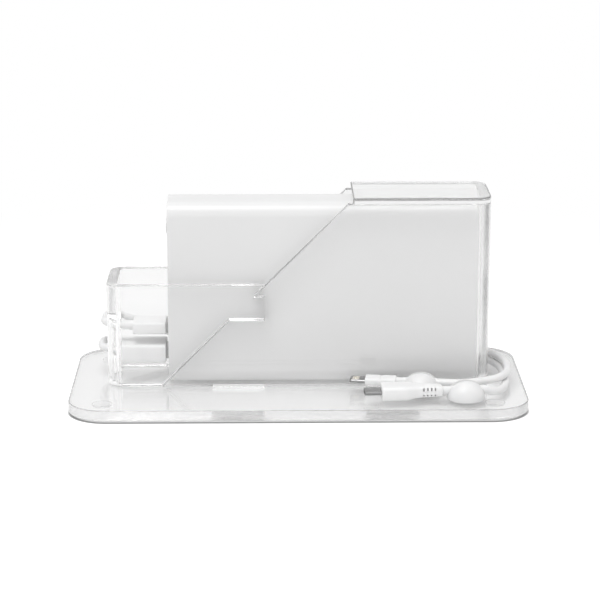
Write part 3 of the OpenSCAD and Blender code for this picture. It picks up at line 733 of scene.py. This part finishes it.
bank = {"ease": 0.25 * mm, "capEase": 0.15 * mm, "buttonEase": 0.2 * mm}
newPiece("bankCase", easedCopy("bank_case", bank["ease"]), "case_white", "bank_case")
for name, node in (("bankPortCap", "bank_port_cap"), ("bankEndCap", "bank_end_cap")):
    newPiece(name, easedCopy(node, bank["capEase"]), "cap_white", node)
newPiece("powerButton", easedCopy("power_button", bank["buttonEase"]), "cap_white",
         "power_button", "button")

screws = {"headWidth": 3.6 * mm, "headHeight": 1.3 * mm, "shank": 1.9 * mm, "length": 9 * mm,
          "tip": 0.6 * mm, "recess": 0.55 * mm, "recessSpan": 2.0 * mm, "recessDepth": 0.7 * mm,
          "sides": 32}


def screwMesh(length):
    # pan head screw along +X with a cross recess
    r, h, shank = screws["headWidth"] / 2, screws["headHeight"], screws["shank"]
    profile = [(0, 0), (0, r * 0.7), (h * 0.12, r * 0.92), (h * 0.35, r), (h, r),
               (h, shank / 2), (length - screws["tip"], shank / 2), (length, shank / 4),
               (length, 0)]
    body = turnedShape(profile, screws["sides"])
    cross = bmesh.new()
    wide, span = screws["recess"], screws["recessSpan"]
    for y, z in ((wide, span), (span, wide)):
        bmesh.ops.create_cube(cross, size=1,
                              matrix=Matrix.Diagonal((2 * screws["recessDepth"], y, z, 1)))
    return cutAway(meshFrom("screw", body, 1e-6), meshFrom("cross", cross))


capLow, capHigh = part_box("cap_screws")
screwInset = screws["headWidth"] / 2
lowZ, highZ = capLow.z + screwInset, capHigh.z - screwInset
screwY = (capLow.y + capHigh.y) / 2
capScrews = copiesOf(screwMesh(screws["length"]), "screw_steel", [
    (2, (x, screwY, lowZ), (0, 0, highZ - lowZ), (0, 0, turn))
    for x, turn in ((capLow.x, 0), (capHigh.x, pi))])
newPiece("capScrews", smoothMesh(capScrews, 30), "screw_steel", "cap_screws")
boardLow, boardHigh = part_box("board_screws")
boardScrews = copiesOf(screwMesh(boardHigh.x - boardLow.x), "screw_steel", [
    (2, (boardHigh.x, boardLow.y + screwInset, (boardLow.z + boardHigh.z) / 2),
     (0, boardHigh.y - boardLow.y - 2 * screwInset, 0), (0, 0, pi))])
newPiece("boardScrews", smoothMesh(boardScrews, 30), "screw_steel", "board_screws")
print("power bank made")


usbPlugs = {
    "upper": {"width": 14 * mm, "height": 5.4 * mm, "radius": 1.0 * mm, "ease": 0.5 * mm},
    "lower": {"width": 16 * mm, "height": 8.6 * mm, "radius": 1.2 * mm, "ease": 0.6 * mm},
}
# soft sleeve behind the upper grip: its rings, each (along, diameter) in millimetres
sleeve = {"length": 5 * mm, "rings": ((0, 3.7), (0.3, 4.0), (3.4, 4.4), (4.6, 4.4), (6, 4.4))}


def usbGrip(which, node):
    look = usbPlugs[which]
    low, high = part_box(node)
    x0 = low.x + (sleeve["length"] if which == "upper" else 0)
    centre = Vector((0, (low.y + high.y) / 2, (low.z + high.z) / 2))
    bm = loft(easedBlock(x0, high.x, look["width"], look["height"], look["radius"], look["ease"]))
    if which == "upper":
        bm.from_mesh(meshFrom("tail", roundRod(low.x, sleeve["rings"], mm)))
    bmesh.ops.translate(bm, verts=bm.verts, vec=centre)
    return newPiece("usbGrip" + which.capitalize(), smoothMesh(meshFrom(node, bm), 30),
                    "plug_white", node, "guard")


usbGripUpper = usbGrip("upper", "usb_plug_upper")
usbGripLower = usbGrip("lower", "usb_plug_lower")

# the plugs held by the clips, in millimetres along the clip; back is how far off they start
flatPlug = {
    "length": 13.8, "width": 7.7, "height": 3.4, "radius": 1.3, "ease": 0.45, "back": 11.3,
    # the grip's notch: its depth, and how deep it is from side to side
    "notch": 0.35, "notchLine": ((-1.0, 0), (-0.7, 0.4), (-0.35, 0.9), (0, 1), (0.35, 0.9),
                                 (0.7, 0.4), (1.0, 0)),
    "boot": ((-0.5, 3.2), (0.2, 3.2), (2.7, 3.2), (3, 3.0)),  # rings, each (along, diameter)
    "tipLength": 6.9, "tipWidth": 6.7, "tipHeight": 1.5, "tipRadius": 0.55, "nose": 1.1,
}


def inStand(name, bm, clip):
    # from the clip's own millimetres to the stand's frame
    bmesh.ops.scale(bm, verts=bm.verts, vec=(mm, mm, mm))
    bmesh.ops.transform(bm, matrix=inClip(clip), verts=bm.verts)
    return smoothMesh(meshFrom(name, bm, 1e-8), 30)


def flatGripMesh():
    f = flatPlug
    x1 = -f["back"]
    x0 = x1 - f["length"]
    sections = easedBlock(x0, x1, f["width"], f["height"], f["radius"], f["ease"])
    notch = []
    for along, drop in f["notchLine"]:
        ring = [(y, z - f["notch"] * drop if z > 0 else z)
                for y, z in roundRing(f["width"], f["height"], f["radius"])]
        notch.append(((x0 + x1) / 2 + along, ring))
    half = len(sections) // 2
    bm = loft(sections[:half] + notch + sections[half:])
    bm.from_mesh(meshFrom("boot", roundRod(x1, f["boot"])))
    return inStand("flatGrip", bm, "rear")


def flatTipMesh():
    f = flatPlug
    x1 = -f["back"] - f["length"]
    x0 = x1 - f["tipLength"]
    sections = []
    for step in range(7):  # rounded nose
        a = radians(90 * step / 6)
        inset = f["nose"] * (1 - sin(a))
        sections.append((x0 + f["nose"] * (1 - cos(a)),
                         roundRing(f["tipWidth"] - 2 * inset, f["tipHeight"] - 0.35 * inset,
                                   f["tipRadius"] - 0.2 * (1 - sin(a)), 5)))
    sections.append((x1, roundRing(f["tipWidth"], f["tipHeight"], f["tipRadius"], 5)))
    return inStand("flatTip", loft(sections), "rear")


# the tip's contacts, in two rows
contacts = {"count": 8, "pitch": 0.6, "length": 3.0, "width": 0.38, "height": 0.06, "ease": 0.02,
            "fromNose": 1.2}


def contactMesh():
    c = contacts
    bm = loft(easedBlock(0, c["length"], c["width"], c["height"], c["ease"], c["ease"], 3, 2))
    bmesh.ops.scale(bm, verts=bm.verts, vec=(mm, mm, mm))
    return meshFrom("contact", bm, 1e-9)


def contactRows():
    nose = -flatPlug["back"] - flatPlug["length"] - flatPlug["tipLength"]
    turn = clips["rear"]["turn"]
    across = Vector((-sin(turn), cos(turn), 0))
    rise = Vector((0, 0, (flatPlug["tipHeight"] + contacts["height"]) / 2 * mm))
    first = (Vector(onClip("rear", nose + contacts["fromNose"]))
             - (contacts["count"] - 1) / 2 * contacts["pitch"] * mm * across)
    return copiesOf(contactMesh(), "contact_gold", [
        (contacts["count"], first + side * rise, contacts["pitch"] * mm * across, (0, 0, turn))
        for side in (1, -1)])


flatGrip = newPiece("flatGrip", flatGripMesh(), "plug_white", "flat_plug")
flatTip = newPiece("flatTip", flatTipMesh(), "shell_metal", "flat_plug_tip")
flatContacts = newPiece("flatContacts", contactRows(), "contact_gold", "flat_plug_contacts")

microPlug = {
    "back": 10.7, "length": 17.8, "width": 11, "height": 6.2, "radius": 1.6, "ease": 0.6,
    # the grip narrows to its neck from this share of its length, in these steps
    "neckWidth": 7.2, "neckHeight": 5.2, "narrowFrom": 0.55,
    "steps": (0.35, 0.55, 0.62, 0.69, 0.76, 0.83, 0.9, 0.95, 1.0),
    # the sleeve, and how much smaller it is at these distances from its two ends
    "relief": 9.3, "reliefHeight": 5.4, "reliefRadius": 1.9,
    "reliefStart": ((-0.5, 0), (2, 0.1)),
    "reliefEnd": ((-2, 0.5), (-0.6, 0.8), (-0.2, 1.1), (0, 1.8)),
    "shellLength": 7.4, "shellWidth": 6.9, "shellHeight": 1.9, "shellWall": 0.25,
    "rimInset": 0.06, "rimLength": 0.08,  # how the shell's mouth tapers
}
# the slots in its sleeve: how many, from where, how far apart, and what stays between the sides
reliefSlots = {"count": 4, "first": 0.8, "pitch": 1.72, "width": 0.65, "web": 2.6,
               "high": 1.5, "highMiddle": 1.2, "low": 0.7, "lowMiddle": -1.45}


def microGripMesh():
    m = microPlug
    x2 = -m["back"] - m["relief"]
    x0 = x2 - m["length"]
    sections = []
    for step in range(5):
        a = radians(90 * step / 4)
        inset = m["ease"] * (1 - sin(a))
        sections.append((x0 + m["ease"] * (1 - cos(a)), m["width"] - 2 * inset,
                         m["height"] - 2 * inset, m["radius"] - 0.5 * inset))
    for share in m["steps"]:
        k = max(0.0, (share - m["narrowFrom"]) / (1 - m["narrowFrom"]))
        k = k * k * (3 - 2 * k)
        sections.append((x0 + m["length"] * share, m["width"] + (m["neckWidth"] - m["width"]) * k,
                         m["height"] + (m["neckHeight"] - m["height"]) * k, m["radius"]))
    bm = loft([(x, roundRing(w, h, r)) for x, w, h, r in sections])
    bm.from_mesh(slottedSleeve(x2))
    return inStand("microBody", bm, "front")


def slottedSleeve(start):
    # soft sleeve in the clip's millimetres, slotted on both sides so that it bends
    m, slot = microPlug, reliefSlots
    width, height, radius = m["neckWidth"], m["reliefHeight"], m["reliefRadius"]
    outline = [(start + along, less) for along, less in m["reliefStart"]]
    outline += [(start + m["relief"] + along, less) for along, less in m["reliefEnd"]]
    body = loft([(x, roundRing(width - less, height - less, radius - less / 4))
                 for x, less in outline])
    cuts = bmesh.new()
    for span, middle in ((slot["high"], slot["highMiddle"]), (slot["low"], slot["lowMiddle"])):
        block = bmesh.new()
        bmesh.ops.create_cube(block, size=1,
                              matrix=Matrix.Diagonal((slot["width"], width, span, 1)))
        cuts.from_mesh(copiesOf(meshFrom("block", block), "plug_white", [
            (slot["count"], (start + slot["first"], side * (width + slot["web"]) / 2, middle),
             (slot["pitch"], 0, 0), (0, 0, 0)) for side in (-1, 1)]))
    return cutAway(meshFrom("sleeve", body), meshFrom("cuts", cuts))


# the shell's two latch bumps: how far apart, and their rings, each (along, width, height, radius)
latch = {"apart": 3.5, "sunk": 0.12, "rings": (
    (1.4, 0.7, 0.1, 0.04), (1.8, 0.8, 0.5, 0.1), (2.6, 0.8, 0.5, 0.1), (3.1, 0.8, 0.1, 0.04))}


def microShellMesh():
    # thin folded shell, narrower at the bottom, with two latch bumps on top
    m = microPlug
    x1 = -m["back"] - m["relief"] - m["length"]
    x0 = x1 - m["shellLength"]

    def ring(inset):
        # from its right side over the top and down to the narrower bottom
        w, h = m["shellWidth"] / 2 - inset, m["shellHeight"] / 2 - inset
        return [(w, h * 0.15), (w, h * 0.75), (w - 0.15, h), (-w + 0.15, h), (-w, h * 0.75),
                (-w, h * 0.15), (-w + 0.75, -h * 0.85), (-w + 0.95, -h), (w - 0.95, -h),
                (w - 0.75, -h * 0.85)]

    bm = loft([(x0, ring(m["rimInset"])), (x0 + m["rimLength"], ring(0)), (x1, ring(0))], False)
    inner = [[bm.verts.new((x, y, z)) for y, z in ring(m["shellWall"])] for x in (x0, x1)]
    bm.verts.ensure_lookup_table()
    count = len(inner[0])
    mouth = [bm.verts[k] for k in range(count)]
    for k in range(count):
        n = (k + 1) % count
        bm.faces.new((inner[0][k], inner[0][n], inner[1][n], inner[1][k]))
        bm.faces.new((mouth[k], mouth[n], inner[0][n], inner[0][k]))
    for side in (-1, 1):
        bump = loft([(x0 + along, roundRing(w, h, r, 2)) for along, w, h, r in latch["rings"]])
        for v in bump.verts:
            v.co.y += side * latch["apart"] / 2
            v.co.z += m["shellHeight"] / 2 - latch["sunk"]
        bm.from_mesh(meshFrom("latch", bump))
    return inStand("microShell", bm, "front")


microBody = newPiece("microBody", microGripMesh(), "plug_white", "micro_plug")
microShell = newPiece("microShell", microShellMesh(), "shell_metal", "micro_plug_shell")
print("plugs made")

clipLook = {"edge": 0.25 * mm, "sharpFrom": 25}
for name, node in (("clipFront", "front_clip"), ("clipRear", "rear_clip")):
    newPiece(name, easedCopy(node, clipLook["edge"], sharpFrom=clipLook["sharpFrom"]),
             "clip_white", node)
print("clips made")

# CAD nodes that keep their own shape
keptNodes = {
    "shell_metal": ["usb_socket_upper", "usb_socket_lower", "charge_inlet",
                    "usb_plug_upper_shell", "usb_plug_lower_shell"],
    "core_plastic": ["socket_tongues", "usb_plug_insulators"],
    "core_dark": ["micro_plug_insulator"], "board_green": ["circuit_board"],
    "led_body": ["status_leds"], "pipe_clear": ["light_pipes"],
    "switch_black": ["button_switch"], "cell_foil": ["cell_front", "cell_back"],
    "tape_amber": ["cell_tape"], "foam_grey": ["cell_foam"], "screw_steel": ["cell_tabs"],
    "pad_tape": ["clip_pads"],
}
for slotName, kept in keptNodes.items():
    for node in kept:
        for place in nodes[node].material_slots:
            place.material = finish[slotName]
print("CAD nodes finished:", sum(len(kept) for kept in keptNodes.values()))


studio = {
    "floorReach": 5, "floorWhite": 0.90, "corner": 17.5 * mm,
    # how far out from under the tray, how much of the floor's own light shows there, and how much
    # painted contact shadow
    "rings": ((-6, 0, 0), (-2.2, 0, 0.3), (-1.2, 0, 1), (-0.4, 0.1, 1), (0.8, 1, 0)),
    "paintedContactShadow": 0.26,
    # what the floor shows more than its own light: seen, through clear sheets, and far off
    "glowSeen": 0.35, "glowThrough": 0.12, "farThrough": 0.92, "fadeBand": (0.16, 0.40),
    # the soft light, all round and overhead
    "ring": 0.60, "overhead": 0.64, "overheadBand": (0.35, 0.8),
    # what gloss and clear sheets see on each side, and where one turns to the next
    "seenBack": 0.95, "seenFront": 1.25, "seenSide": 0.85, "seenTop": 1.7,
    "backBand": (-0.6, 0.1), "sideBand": (0.6, 0.95), "topBand": (0.5, 0.85),
    # each lamp's energy, size and place; they all point at the stand
    "lamps": {"keyLamp": (6.2, 0.5, (-0.2, -0.35, 1.15)),
              "frontLamp": (1.2, 0.8, (0.2, -1.25, 0.2))},
}


def floorMesh():
    # rings round the tray's outline carry how much of the floor's own light shows and how much
    # painted contact shadow lies there
    bm = bmesh.new()
    openLayer = bm.verts.layers.float.new("open")
    paintedShadowLayer = bm.verts.layers.float.new("shade")
    rings = []
    for out, isOpen, shade in [*studio["rings"], (studio["floorReach"] / mm, 1, 0)]:
        ring = roundRing(2 * (trayHigh.x + out * mm), 2 * (trayHigh.y + out * mm),
                         studio["corner"] + out * mm, 12)
        rings.append([bm.verts.new((x, y, 0)) for x, y in ring])
        for v in rings[-1]:
            v[openLayer], v[paintedShadowLayer] = isOpen, shade
    for inner, outer in zip(rings, rings[1:]):
        for k in range(len(inner)):
            n = (k + 1) % len(inner)
            bm.faces.new((inner[k], outer[k], outer[n], inner[n]))
    bm.faces.new(rings[0])
    bmesh.ops.recalc_face_normals(bm, faces=bm.faces)
    bm.faces.ensure_lookup_table()
    if bm.faces[0].normal.z < 0:
        bmesh.ops.reverse_faces(bm, faces=bm.faces)
    return plainMesh("floor", bm)


def layFloor():
    floor = addObject("floor", floorMesh())
    material, tree, shader, output = newMaterial("floorWhite")
    tree.nodes.remove(shader)
    white = grey(studio["floorWhite"])
    # painted contact shadow: the camera sees the floor darker in a ring at the tray's foot
    paintedShadowFloor = mixed(tree, faceValue(tree, "shade"), white, grey(studio["paintedContactShadow"]))
    # painted shade: the camera sees the floor's own light only out from under the tray, so under it
    # the floor looks darker
    glow = mathNode(tree, "MULTIPLY", faceValue(tree, "open"), studio["glowSeen"])
    where = addNode(tree, "ShaderNodeTexCoord").outputs["Object"]
    reach = addNode(tree, "ShaderNodeVectorMath", {"operation": "LENGTH"}, Vector=where)
    fade = smoothStep(tree, reach.outputs["Value"], studio["fadeBand"])

    def light(strength):
        return addNode(tree, "ShaderNodeEmission", Color=grey(1), Strength=strength).outputs[0]

    def seenFloor(colour, near, distant):
        # the floor with a little light of its own, which turns to plain white far off
        matt = addNode(tree, "ShaderNodeBsdfDiffuse", Color=colour)
        lit = addNode(tree, "ShaderNodeAddShader")
        setInput(tree, lit.inputs[0], matt.outputs[0])
        setInput(tree, lit.inputs[1], light(near))
        return mixShader(tree, fade, lit.outputs[0], light(distant))

    path = addNode(tree, "ShaderNodeLightPath").outputs
    through = seenFloor(white, studio["glowThrough"], studio["farThrough"])
    seen = mixShader(tree, path["Is Camera Ray"], through, seenFloor(paintedShadowFloor, glow, 1))
    tree.links.new(seen, output.inputs["Surface"])
    floor.data.materials.append(material)


def lightStudio():
    world = bpy.data.worlds.new("studio")
    bpy.context.scene.world = world
    world.use_nodes = True
    tree = world.node_tree
    tree.nodes.clear()
    where = addNode(tree, "ShaderNodeTexCoord").outputs["Generated"]
    parts = addNode(tree, "ShaderNodeSeparateXYZ", Vector=where).outputs
    soft = smoothStep(tree, parts["Z"], studio["overheadBand"], studio["ring"], studio["overhead"])
    # gloss and clear sheets show near white behind, dimmer sides, a bright front and top
    shown = smoothStep(tree, parts["Y"], studio["backBand"], studio["seenFront"],
                       studio["seenBack"])
    for value, band, seen in ((mathNode(tree, "ABSOLUTE", parts["X"]), "sideBand", "seenSide"),
                               (parts["Z"], "topBand", "seenTop")):
        shown = mixed(tree, smoothStep(tree, value, studio[band]), shown, studio[seen], "FLOAT")
    path = addNode(tree, "ShaderNodeLightPath").outputs
    last, shown, white = [
        addNode(tree, "ShaderNodeBackground", Color=grey(1), Strength=strength).outputs[0]
        for strength in (soft, shown, 1)]
    for ray, seen in (("Is Glossy Ray", shown), ("Is Transmission Ray", shown),
                      ("Is Camera Ray", white)):
        last = mixShader(tree, path[ray], last, seen)
    addNode(tree, "ShaderNodeOutputWorld", Surface=last)
    for name, (energy, size, place) in studio["lamps"].items():
        data = bpy.data.lights.new(name, "AREA")
        data.energy, data.size, data.shape = energy, size, "SQUARE"
        lamp = addObject(name, data)
        lamp.location = place
        lamp.rotation_euler = (-lamp.location).to_track_quat("-Z", "Y").to_euler()


layFloor()
lightStudio()
bpy.context.scene.view_settings.view_transform = "Standard"
print("studio lit")
